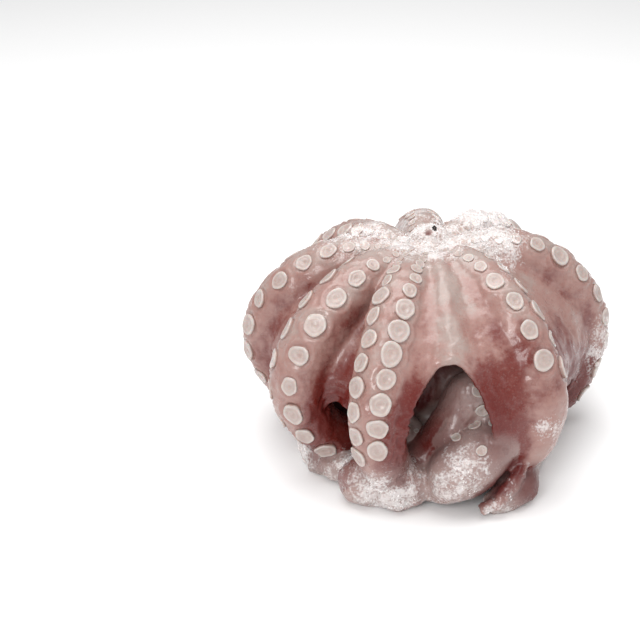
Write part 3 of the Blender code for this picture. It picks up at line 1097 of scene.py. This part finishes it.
class Body:
    """The skin of arms, webs, mouth and head, in one piece."""

    voxel: float = 1.75 * MM
    smoothing_rounds: int = 5
    mouth_place: tuple[float, float, float] = (0, 0, 0.87)  # height in crowns
    mouth_size: tuple[float, float, float] = (28 * MM, 28 * MM, 20 * MM)
    lips_place: tuple[float, float, float] = (3 * MM, 10 * MM, 146 * MM)
    lips_size: tuple[float, float, float] = (16 * MM, 13 * MM, 14 * MM)
    heels: tuple[tuple[tuple[float, float, float], tuple[float, float, float]], ...] = (
        ((-22 * MM, -104 * MM, 17 * MM), (22 * MM, 18 * MM, 19 * MM)),
        ((-42 * MM, -98 * MM, 16 * MM), (21 * MM, 18 * MM, 19 * MM)),
    )  # lumps at the front arm's foot, as places and half sizes
    head_place: tuple[float, float, float] = (3 * MM, 4 * MM, 63 * MM)
    head_size: tuple[float, float, float] = (72 * MM, 71 * MM, 66 * MM)
    red_and_shade_strength: float = 0.85  # how much of the dark red painted shade shows where it is strongest
    frost_lost: float = 0.8  # how much of the frost is missing under that painted shade

    def __init__(self, arms: dict[str, ArmRoute], webs: dict[str, Web], frost: Frost) -> None:
        """Builds the skin's mesh and its fields.

        Args:
            arms: The arms by name.
            webs: The webs by name.
            frost: Where frost lies.
        """
        self.arms = arms
        self.webs = webs
        self.frost = frost
        self.mesh = self.fused()
        self.keep_outer_skin()
        self.fields = self.read_fields()
        self.fold_skin()
        self.rest_on_floor()
        self.tree = self.surface_tree()

    def ball(self, centre: tuple[float, float, float],
             half_sizes: tuple[float, float, float]) -> bpy.types.Mesh:
        """Makes an ellipsoid.

        Args:
            centre: Its middle.
            half_sizes: Half of its three sizes.

        Returns:
            Its mesh.
        """
        shell = bmesh.new()
        bmesh.ops.create_uvsphere(shell, u_segments=48, v_segments=32, radius=1)
        matrix = Matrix.Translation(centre) @ Matrix.Diagonal((*half_sizes, 1))
        bmesh.ops.transform(shell, matrix=matrix, verts=shell.verts)
        mesh = bpy.data.meshes.new("ball")
        shell.to_mesh(mesh)
        shell.free()
        return mesh

    def fused(self) -> bpy.types.Mesh:
        """Joins all shapes into one skin of small faces, rounded where they meet."""
        mouth = (*self.mouth_place[:2], self.mouth_place[2] * SIZES.crown)
        meshes = [self.ball(mouth, self.mouth_size), self.ball(self.head_place, self.head_size),
                  self.ball(self.lips_place, self.lips_size)]
        meshes += [self.ball(*heel) for heel in self.heels]
        meshes += [route.tube() for route in self.arms.values()]
        for web in self.webs.values():
            meshes += [web.sheet(), web.hem_tube()]
        meshes.append(self.crest())
        shells = bmesh.new()
        for mesh in meshes:
            shells.from_mesh(mesh)
        joined = bpy.data.meshes.new("shapes")
        shells.to_mesh(joined)
        shells.free()
        shapes = new_object("shapes", joined)
        union = shapes.modifiers.new("Union", "REMESH")
        union.mode = "VOXEL"
        union.voxel_size = self.voxel
        rounding = shapes.modifiers.new("Rounding", "SMOOTH")
        rounding.iterations = self.smoothing_rounds
        return take_mesh(shapes)

    def crest(self) -> bpy.types.Mesh:
        """Makes the rim of skin beside the front arm's roll."""
        line = smooth_line(np.array(CREST))
        return tube_mesh("crest", [Vector(row[:3]) for row in line], list(line[:, 3]))

    def keep_outer_skin(self) -> None:
        """Removes the walls of pockets shut inside, which are skins apart from the outer one."""
        body = bmesh.new()
        body.from_mesh(self.mesh)
        unseen = set(body.verts)
        skins = []
        while unseen:
            skin = set()
            edge = [unseen.pop()]
            while edge:
                vert = edge.pop()
                skin.add(vert)
                near = [link.other_vert(vert) for link in vert.link_edges]
                fresh = [other for other in near if other in unseen]
                unseen.difference_update(fresh)
                edge += fresh
            skins.append(skin)
        outer = max(skins, key=len)
        inner = [vert for vert in body.verts if vert not in outer]
        bmesh.ops.delete(body, geom=inner, context="VERTS")
        body.to_mesh(self.mesh)
        body.free()

    def read_fields(self) -> SkinFields:
        """Works out what is known of each point of the skin."""
        places = places_of(self.mesh)
        count = len(places)
        gap = np.full(count, np.inf)
        station = np.zeros(count)
        oral = np.zeros(count)
        for route in self.arms.values():
            for start in range(0, count, ROWS_AT_ONCE):
                rows = slice(start, start + ROWS_AT_ONCE)
                away = places[rows, None, :] - route.points[None]
                length = np.linalg.norm(away, axis=2)
                outside = length - route.half_widths[None]
                nearest = outside.argmin(axis=1)
                pick = np.arange(len(nearest))
                closer = outside[pick, nearest] < gap[rows]
                gap[rows] = np.where(closer, outside[pick, nearest], gap[rows])
                station[rows] = np.where(closer, route.stations[nearest], station[rows])
                cosine = (away[pick, nearest] * route.outward[nearest]).sum(axis=1)
                cosine /= np.maximum(length[pick, nearest], 1e-6)
                oral[rows] = np.where(closer, cosine, oral[rows])
        return SkinFields(station, gap, oral, *self.read_webs(places))

    def read_webs(self, places: np.ndarray) -> tuple[np.ndarray, ...]:
        """Works out where each point lies on the nearest web.

        Args:
            places: The points, one in each row.

        Returns:
            Flush, down, fold, distance from the free edge and from the web, for each point.
        """
        samples = []
        edges = []
        for web in self.webs.values():
            for row, points in enumerate(web.rows):
                down = row / web.steps
                for column, point in enumerate(points):
                    across = column / web.steps
                    fold = web.plan.crease / (8 * MM) * hump(across, CREASE_PLACE, 0.13)
                    fold *= ease(down / 0.35)
                    samples.append((point, web.plan.flush, down, fold))
            edges += web.rows[-1]
        whole = KDTree(len(samples))
        for index, sample in enumerate(samples):
            whole.insert(sample[0], index)
        whole.balance()
        rims = KDTree(len(edges))
        for index, point in enumerate(edges):
            rims.insert(point, index)
        rims.balance()
        rows = []
        for place in places.tolist():
            _, index, away = whole.find(place)
            rows.append((*samples[index][1:], rims.find(place)[2], away))
        return tuple(np.array(rows).T)

    def fold_skin(self) -> None:
        """Gives the skin its lumps, wrinkles and folds."""
        places = places_of(self.mesh)
        normals = normals_of(self.mesh)
        f = self.fields
        on_web = ease(f.gap / (7 * MM))
        lumps = field_noise(places, 26 * MM, 1) * 1.3 * MM
        dents = field_noise(places, 9 * MM, 2) * 0.55 * MM
        angle = np.arctan2(places[:, 0], -places[:, 1])
        drawn = np.column_stack([angle * 0.09, f.down * 0.03, places[:, 2] * 0.25])
        drapes = field_noise(drawn, 5 * MM, 3) * 0.7 * MM * on_web * ease(f.down / 0.3)
        hem = ease(1 - f.edge / (26 * MM)) * ease((f.web_gap < 6 * MM) * 1.0)
        hem *= 0.3 + 0.7 * ease((22 * MM - places[:, 0]) / (20 * MM))
        waver = field_noise(places, 14 * MM, 6) * 2.2 * MM
        hem *= ease((104 * MM - places[:, 2]) / (26 * MM))
        ripples = np.sin((f.edge + waver) / (4.6 * MM) * 2 * math.pi) * 0.9 * MM * hem
        along = np.column_stack([f.station * 0.02, f.oral * 0.012, f.gap])
        creases = field_noise(along, 3.2 * MM, 4, 3) * 0.35 * MM * (1 - on_web)
        icy = self.frost.at(places, normals[:, 2]) * ease((50 * MM - places[:, 2]) / (20 * MM))
        caked = field_noise(places, 11 * MM, 7, 3) * 2.6 * MM * ease((icy - 0.3) / 0.4)
        moved = lumps + dents + drapes + ripples + creases + caked
        set_places(self.mesh, places + normals * moved[:, None])

    def rest_on_floor(self) -> None:
        """Presses flat what would reach below the floor."""
        places = places_of(self.mesh)
        places[:, 2] = np.maximum(places[:, 2], 0.0)
        set_places(self.mesh, places)

    def surface_tree(self) -> BVHTree:
        """Makes a search tree of the skin's faces."""
        places = [tuple(row) for row in places_of(self.mesh)]
        faces = [tuple(face.vertices) for face in self.mesh.polygons]
        return BVHTree.FromPolygons(places, faces)

    def raise_collars(self, suckers: list["Sucker"]) -> None:
        """Raises the skin in a collar round each sucker, with a groove at its foot.

        Args:
            suckers: The suckers in their places.
        """
        places = places_of(self.mesh)
        normals = normals_of(self.mesh)
        centres = KDTree(len(suckers))
        for index, sucker in enumerate(suckers):
            centres.insert(sucker.place, index)
        centres.balance()
        moved = np.zeros(len(places))
        for row, place in enumerate(places.tolist()):
            _, index, away = centres.find(place)
            radius = suckers[index].radius
            share = away / radius
            if share < 2.2:
                collar = 0.12 * hump(share, 1.38, 0.24)
                groove = 0.08 * hump(share, 1.06, 0.12)
                moved[row] = radius * (collar - groove)
        set_places(self.mesh, places + normals * moved[:, None])
        self.rest_on_floor()

    def dress(self) -> bpy.types.Object:
        """Stores what the skin's material reads, and makes the piece."""
        places = places_of(self.mesh)
        normals = normals_of(self.mesh)
        tones = SkinTones(places, normals, self.fields)
        # the dark red painted shade, with the skin's own red in one speck
        red_and_painted_shade = tones.red_and_painted_shade()
        frost = self.frost.at(places, normals[:, 2]) * (1 - self.frost_lost * red_and_painted_shade)
        set_field(self.mesh, "flush", tones.flush())
        set_field(self.mesh, "red_and_painted_shade", self.red_and_shade_strength * red_and_painted_shade)
        set_field(self.mesh, "grey", tones.grey())
        set_field(self.mesh, "frost", frost)
        self.mesh.polygons.foreach_set("use_smooth", [True] * len(self.mesh.polygons))
        piece = add_piece("skin", self.mesh, FleshFinish().material())
        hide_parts(NODE)
        return piece


# ---------------------------------------------------------------- suckers


@dataclass(frozen=True)
class Sucker:
    """One sucker in its place."""

    place: Vector
    facing: Vector
    radius: float
    ahead: Vector


class Suckers:
    """Two alternating rows of suckers along the outer side of every arm."""

    # from the skin outwards: radius in radii, height in radii, and tone for the material; tone 0 at
    # the foot is painted shade in the groove
    profile: tuple[tuple[float, float, float], ...] = (
        (1.05, -0.22, 0.00),
        (1.01, -0.03, 0.12),
        (1.00, 0.06, 0.40),
        (0.99, 0.13, 0.80),
        (0.94, 0.185, 1.00),
        (0.86, 0.20, 1.00),
        (0.75, 0.17, 0.80),
        (0.62, 0.13, 0.60),
        (0.50, 0.125, 0.62),
        (0.40, 0.135, 0.72),
        (0.30, 0.10, 0.55),
        (0.14, 0.06, 0.46),
        (0.00, 0.05, 0.45),
    )
    stiffness: float = 0.30  # how far a disc stays flat where the skin curves, 0 to 1
    start: float = 0.55  # station of the first one
    end: float = 0.93  # of the arm's length
    buried: float = 2.5 * MM  # one this deep inside another arm is left out
    adrift: float = 4 * MM  # and so is one this far from the skin
    size_spread: tuple[float, float] = (0.86, 1.12)
    lean_spread: float = 0.05  # radians
    tilt_spread: float = 0.10
    small: float = 4 * MM  # radius of those that have fewer sides

    def __init__(self, body: Body, frost: Frost, seed: int = 5) -> None:
        """Finds the suckers' places.

        Args:
            body: The skin that they stand on.
            frost: Where frost lies.
            seed: Which of the possible uneven layouts it is.
        """
        self.body = body
        self.frost = frost
        self.random = random.Random(seed)
        self.all = [s for route in body.arms.values() for s in self.along(route)]

    def diameter(self, station: float, shrink: float) -> float:
        """Gives the width of a sucker at a station of an arm that shrinks them so much."""
        growth = 0.30 + 0.70 * ease((station - 0.4) / 2.6)
        fading = 1 - shrink * ease((station - SIZES.foot_station) / 9)
        return SIZES.sucker_diameter * growth * fading

    def along(self, route: ArmRoute) -> list[Sucker]:
        """Places the suckers of one arm.

        Args:
            route: The arm.

        Returns:
            Its suckers.
        """
        found = []
        plan = route.plan
        length = route.lengths[int(self.start * KNOT_STEPS)]
        side = 1
        while length < route.lengths[-1] * self.end:
            index = route.at_length(length)
            station = index / KNOT_STEPS
            diameter = self.diameter(station, plan.shrink)
            half_width = float(route.read(route.half_widths, index))
            axis = Vector(route.read(route.points, index))
            ahead = Vector(route.read(route.ahead, index))
            facing = self.facing(route, index, side)
            drawn = diameter * self.random.uniform(*self.size_spread)
            place, normal, _, away = self.body.tree.find_nearest(axis + facing * half_width)
            seen = away < self.adrift and place.z > 2 * MM and not self.is_buried(place, route)
            if seen and not plan.bare[0] < station < plan.bare[1]:
                tilt = Vector([self.random.gauss(0, self.tilt_spread) for _ in range(3)])
                face = (0.55 * facing + 0.45 * normal + tilt).normalized()
                found.append(Sucker(place, face, drawn / 2, ahead))
            length += 0.5 * plan.pitch * diameter / SIZES.sucker_diameter
            side = -side
        return found

    def facing(self, route: ArmRoute, index: float, side: int) -> Vector:
        """Gives the way a sucker faces, before it settles on the skin.

        Args:
            route: Its arm.
            index: Its place along the arm's line.
            side: 1 for one row, -1 for the other.

        Returns:
            The direction, of length 1.
        """
        plan = route.plan
        station = index / KNOT_STEPS
        ahead = Vector(route.read(route.ahead, index))
        outward = Vector(route.read(route.outward, index))
        if plan.facings and station > plan.facings[0][0]:
            marks = np.array(plan.facings).T
            wanted = Vector([np.interp(station, marks[0], marks[k]) for k in (1, 2, 3)])
            outward = (wanted - ahead * wanted.dot(ahead)).normalized()
        turn = plan.twist * ease(station / SIZES.foot_station)
        lean = math.radians(side * plan.row_lean + turn)
        lean += self.random.gauss(0, self.lean_spread)
        return Matrix.Rotation(lean, 3, ahead) @ outward

    def is_buried(self, place: Vector, own: ArmRoute) -> bool:
        """Tells whether a place lies inside another arm.

        Args:
            place: The place.
            own: The arm that it belongs to.

        Returns:
            True if it does.
        """
        for route in self.body.arms.values():
            if route is own:
                continue
            away = np.linalg.norm(route.points - np.array(place), axis=1) - route.half_widths
            if away.min() < -self.buried:
                return True
        return False

    def build(self) -> bpy.types.Object:
        """Makes all suckers as one mesh."""
        verts: list[Vector] = []
        faces: list[tuple[int, ...]] = []
        tones: list[float] = []
        for sucker in self.all:
            segments = 22 if sucker.radius > self.small else 14
            self.add_one(sucker, segments, verts, faces, tones)
        mesh = mesh_from("suckers", verts, faces)
        set_field(mesh, "tone", np.array(tones))
        places = places_of(mesh)
        set_field(mesh, "frost", self.frost.at(places, normals_of(mesh)[:, 2]))
        return add_piece("suckers", mesh, SuckerFinish().material())

    def add_one(self, sucker: Sucker, segments: int, verts: list[Vector],
                faces: list[tuple[int, ...]], tones: list[float]) -> None:
        """Adds one sucker to the mesh.

        Args:
            sucker: The sucker.
            segments: How many sides it has.
            verts: The mesh's points.
            faces: The mesh's faces.
            tones: The tone at each point.
        """
        across = sucker.facing.cross(sucker.ahead).normalized()
        along = across.cross(sucker.facing)
        stretch = self.random.uniform(0.90, 1.08)
        waves = [(self.random.uniform(0.0, 0.045), self.random.uniform(0, 2 * math.pi), k)
                 for k in (2, 3, 5)]
        slump = self.random.uniform(-0.05, 0.05)
        first = len(verts)
        for reach, height, tone in self.profile[:-1]:
            for segment in range(segments):
                angle = 2 * math.pi * segment / segments
                wave = 1 + sum(size * math.sin(k * angle + phase) for size, phase, k in waves)
                out = reach * wave * sucker.radius
                flat = across * (math.cos(angle) * stretch) + along * (math.sin(angle) / stretch)
                rise = (height + slump * reach * math.sin(angle + waves[0][1])) * sucker.radius
                level = sucker.place + flat * out
                skin, normal, _, _ = self.body.tree.find_nearest(level)
                base = skin if height < 0 else skin.lerp(level, self.stiffness)
                verts.append(base + (0.5 * sucker.facing + 0.5 * normal) * rise)
                tones.append(tone)
        for ring in range(len(self.profile) - 2):
            for segment in range(segments):
                a = first + ring * segments + segment
                b = first + ring * segments + (segment + 1) % segments
                faces.append((a, b, b + segments, a + segments))
        _, height, tone = self.profile[-1]
        verts.append(sucker.place + sucker.facing * height * sucker.radius)
        tones.append(tone)
        last = first + (len(self.profile) - 2) * segments
        for segment in range(segments):
            faces.append((last + segment, last + (segment + 1) % segments, len(verts) - 1))


# ---------------------------------------------------------------- frost grains, ice and beak


class FrostGrains:
    """Tiny irregular crystals that stand on the frosted skin."""

    count: int = 11000
    sizes: tuple[float, float] = (0.5 * MM, 1.6 * MM)

    def __init__(self, surfaces: list[bpy.types.Object], seed: int = 11) -> None:
        """Takes note of where grains may stand.

        Args:
            surfaces: The pieces that they stand on, which hold a field named frost.
            seed: Which of the possible layouts it is.
        """
        self.surfaces = surfaces
        self.draw = np.random.default_rng(seed)

    def seats(self) -> tuple[np.ndarray, np.ndarray]:
        """Draws the grains' places, more of them where the frost is thicker.

        Returns:
            Places and normals, one grain in each row.
        """
        places, normals, weights = [], [], []
        for surface in self.surfaces:
            mesh = surface.data
            frost = np.empty(len(mesh.vertices))
            mesh.attributes["frost"].data.foreach_get("value", frost)
            spots = places_of(mesh)
            clumps = field_noise(spots, 5 * MM, 21, 3)
            places.append(spots)
            normals.append(normals_of(mesh))
            weights.append(np.clip(frost - 0.5, 0, None) ** 1.5 * ease(clumps * 2.2 + 0.2))
        places = np.vstack(places)
        normals = np.vstack(normals)
        weight = np.concatenate(weights)
        chosen = self.draw.choice(len(places), self.count, p=weight / weight.sum())
        jitter = self.draw.normal(0, 0.7 * MM, (self.count, 3))
        jitter -= normals[chosen] * (jitter * normals[chosen]).sum(axis=1)[:, None]
        return places[chosen] + jitter, normals[chosen]

    def build(self) -> bpy.types.Object:
        """Makes all grains as one mesh of small uneven octahedra."""
        seats, normals = self.seats()
        corners = np.array([(1, 0, 0), (-1, 0, 0), (0, 1, 0), (0, -1, 0), (0, 0, 1), (0, 0, -1)])
        sides = [(0, 2, 4), (2, 1, 4), (1, 3, 4), (3, 0, 4),
                 (2, 0, 5), (1, 2, 5), (3, 1, 5), (0, 3, 5)]
        verts: list[np.ndarray] = []
        faces: list[tuple[int, ...]] = []
        for seat in seats:
            size = self.draw.uniform(*self.sizes) / 2
            turn, _ = np.linalg.qr(self.draw.normal(size=(3, 3)))
            if np.linalg.det(turn) < 0:
                turn[:, 0] *= -1
            shape = corners * self.draw.uniform(0.5, 1.3, (6, 1)) * size
            first = len(verts)
            verts += list(seat + shape @ turn.T)
            faces += [tuple(first + corner for corner in side) for side in sides]
        mesh = mesh_from("frost_grains", verts, faces, smooth=False)
        return add_piece("frost_grains", mesh, IceFinish().material())


@dataclass(frozen=True)
class Plate:
    """A thin broken plate of ice."""

    place: tuple[float, float, float]
    size: tuple[float, float]
    turn: tuple[float, float, float]  # degrees about X, Y and Z


class IcePlates:
    """Broken plates of ice that stick to the feet."""

    plates: tuple[Plate, ...] = (
        Plate((-76 * MM, -58 * MM, 26 * MM), (17 * MM, 12 * MM), (58, 6, 12)),
        Plate((-86 * MM, -44 * MM, 14 * MM), (12 * MM, 9 * MM), (40, -18, 40)),
        Plate((-60 * MM, -66 * MM, 9 * MM), (14 * MM, 8 * MM), (30, 10, -25)),
        Plate((-14 * MM, -108 * MM, 8 * MM), (12 * MM, 9 * MM), (35, -12, 30)),
        Plate((63 * MM, -100 * MM, 13 * MM), (13 * MM, 8 * MM), (50, 20, -35)),
    )
    thickness: float = 1.6 * MM
    corners: int = 9

    def build(self, seed: int = 3) -> bpy.types.Object:
        """Makes all plates as one mesh.

        Args:
            seed: Which of the possible outlines they have.

        Returns:
            The piece.
        """
        draw = random.Random(seed)
        verts: list[Vector] = []
        faces: list[tuple[int, ...]] = []
        for plate in self.plates:
            turn = Matrix.Rotation(math.radians(plate.turn[2]), 3, "Z")
            turn = turn @ Matrix.Rotation(math.radians(plate.turn[1]), 3, "Y")
            turn = turn @ Matrix.Rotation(math.radians(plate.turn[0]), 3, "X")
            first = len(verts)
            outline = []
            for corner in range(self.corners):
                angle = 2 * math.pi * corner / self.corners
                reach = draw.uniform(0.72, 1.0)
                outline.append((math.cos(angle) * reach * plate.size[0] / 2,
                                math.sin(angle) * reach * plate.size[1] / 2))
            for side, shrink in ((-1, 1.0), (1, 0.86)):
                for x, y in outline:
                    lift = side * self.thickness / 2 * draw.uniform(0.7, 1.2)
                    spot = Vector((x * shrink, y * shrink, lift))
                    verts.append(Vector(plate.place) + turn @ spot)
            upper = first + self.corners
            faces.append(tuple(first + c for c in reversed(range(self.corners))))
            faces.append(tuple(upper + c for c in range(self.corners)))
            for c in range(self.corners):
                n = (c + 1) % self.corners
                faces.append((first + c, first + n, upper + n, upper + c))
        mesh = mesh_from("ice_plates", verts, faces, smooth=False)
        return add_piece("ice_plates", mesh, IceFinish("ice", roughness=0.12, clear=0.6).material())


class Beak:
    """The tip of the horny beak between the lips."""

    place: Vector = Vector((5 * MM, 6 * MM, 157 * MM))
    size: tuple[float, float, float] = (3.0 * MM, 2.2 * MM, 3.6 * MM)

    def build(self) -> bpy.types.Object:
        """Makes the beak's two curved halves, one hooked over the other."""
        shell = bmesh.new()
        for side, scale in ((1, 1.0), (-1, 0.8)):
            made = bmesh.ops.create_uvsphere(shell, u_segments=16, v_segments=12, radius=1)
            for vert in made["verts"]:
                x, y, z = vert.co
                rise = max(0.0, z)
                point = Vector((x * (1 - 0.75 * rise), y * (1 - 0.6 * rise) + side * 0.6, z * 1.2))
                point.y -= side * 0.75 * rise ** 2
                vert.co = self.place + Vector([c * s * scale for c, s in zip(point, self.size)])
        mesh = bpy.data.meshes.new("beak")
        shell.to_mesh(mesh)
        shell.free()
        mesh.polygons.foreach_set("use_smooth", [True] * len(mesh.polygons))
        return add_piece("beak", mesh, BeakFinish().material())


# ---------------------------------------------------------------- floor, lights and camera


class Lamp(Enum):
    """The studio's soft lamps: name, place in metres, width, and power in watts."""

    OVERHEAD = ((-0.10, 0.10, 1.30), 1.3, 17.0)
    FRONT = ((-0.45, -1.25, 0.85), 0.6, 10.0)
    RIGHT = ((1.20, -0.60, 0.60), 0.9, 2.0)


class Studio:
    """A white floor, white lamps and the camera."""

    elevation: float = math.radians(27)
    camera_place: Vector = Vector((-0.07575, -0.97371515, 0.58535759))
    lens: float = 85.0
    sky: float = 0.56

    def __init__(self, shift: Vector) -> None:
        """Takes note of where the animal stands.

        Args:
            shift: From the mouth's axis at the origin to where it stands.
        """
        self.shift = shift

    def floor(self) -> None:
        """Makes the floor, a plain pale sheet."""
        half = 6.0
        verts = [(-half, -half, 0), (half, -half, 0), (half, half, 0), (-half, half, 0)]
        sheet = new_object("floor", mesh_from("floor", verts, [(0, 1, 2, 3)]))
        bench = NodeBench("white_floor")
        bench.shader(Base_Color=(0.96, 0.96, 0.96), Roughness=0.6)
        sheet.data.materials.append(bench.material)

    def lamps(self) -> None:
        """Hangs the lamps, each aimed at the animal."""
        for lamp in Lamp:
            place, width, power = lamp.value
            light = bpy.data.lights.new(lamp.name.lower(), "AREA")
            light.size = width
            light.energy = power
            hung = bpy.data.objects.new(lamp.name.lower(), light)
            hung.location = place
            aim = Vector((0, 0, 0.06)) - hung.location
            hung.rotation_euler = aim.to_track_quat("-Z", "Y").to_euler()
            bpy.context.scene.collection.objects.link(hung)

    def backdrop(self) -> None:
        """Lights everything evenly from a white room."""
        world = bpy.data.worlds.new("white_room")
        world.use_nodes = True
        room = world.node_tree.nodes["Background"]
        room.inputs["Color"].default_value = (1, 1, 1, 1)
        room.inputs["Strength"].default_value = self.sky
        bpy.context.scene.world = world

    def camera(self) -> None:
        """Puts up the camera."""
        lens = bpy.data.cameras.new("camera")
        lens.lens = self.lens
        camera = bpy.data.objects.new("camera", lens)
        camera.location = self.camera_place + self.shift
        camera.rotation_euler = (math.pi / 2 - self.elevation, 0, 0)
        bpy.context.scene.collection.objects.link(camera)
        bpy.context.scene.camera = camera

    def build(self) -> None:
        """Builds the whole studio."""
        self.floor()
        self.lamps()
        self.backdrop()
        self.camera()
        bpy.context.scene.view_settings.view_transform = "Standard"


# ---------------------------------------------------------------- putting it together


def stand_where_solid_is(pieces: list[bpy.types.Object]) -> Vector:
    """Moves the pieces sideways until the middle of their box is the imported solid's.

    Args:
        pieces: All pieces of the animal.

    Returns:
        How far they moved.
    """
    places = np.vstack([places_of(piece.data) for piece in pieces])
    low, high = (Vector(corner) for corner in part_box(NODE))
    middle = (places.min(axis=0) + places.max(axis=0)) / 2
    shift = Vector(((low.x + high.x) / 2 - middle[0], (low.y + high.y) / 2 - middle[1], 0.0))
    for piece in pieces:
        spots = places_of(piece.data) + np.array(shift)
        spots[:, 2] = np.maximum(spots[:, 2], 0.0)
        set_places(piece.data, spots)
    return shift


def main() -> None:
    """Builds the animal and its studio."""
    logging.basicConfig(level=logging.INFO, format="%(name)s %(message)s")
    arms = {name: ArmRoute(name, plan) for name, plan in ARMS.items()}
    names = list(arms)
    webs = {
        name: Web(name + "_web", WEBS[name], arms[name], arms[following])
        for name, following in zip(names, names[1:] + names[:1])
    }
    frost = Frost()
    body = Body(arms, webs, frost)
    LOG.info("skin: %d points", len(body.mesh.vertices))
    suckers = Suckers(body, frost)
    body.raise_collars(suckers.all)
    skin = body.dress()
    discs = suckers.build()
    LOG.info("suckers: %d", len(suckers.all))
    pieces = [skin, discs, FrostGrains([skin, discs]).build(), IcePlates().build(), Beak().build()]
    shift = stand_where_solid_is(pieces)
    LOG.info("moved by %s", tuple(round(c, 4) for c in shift))
    Studio(shift).build()


if __name__ == "__main__":
    main()
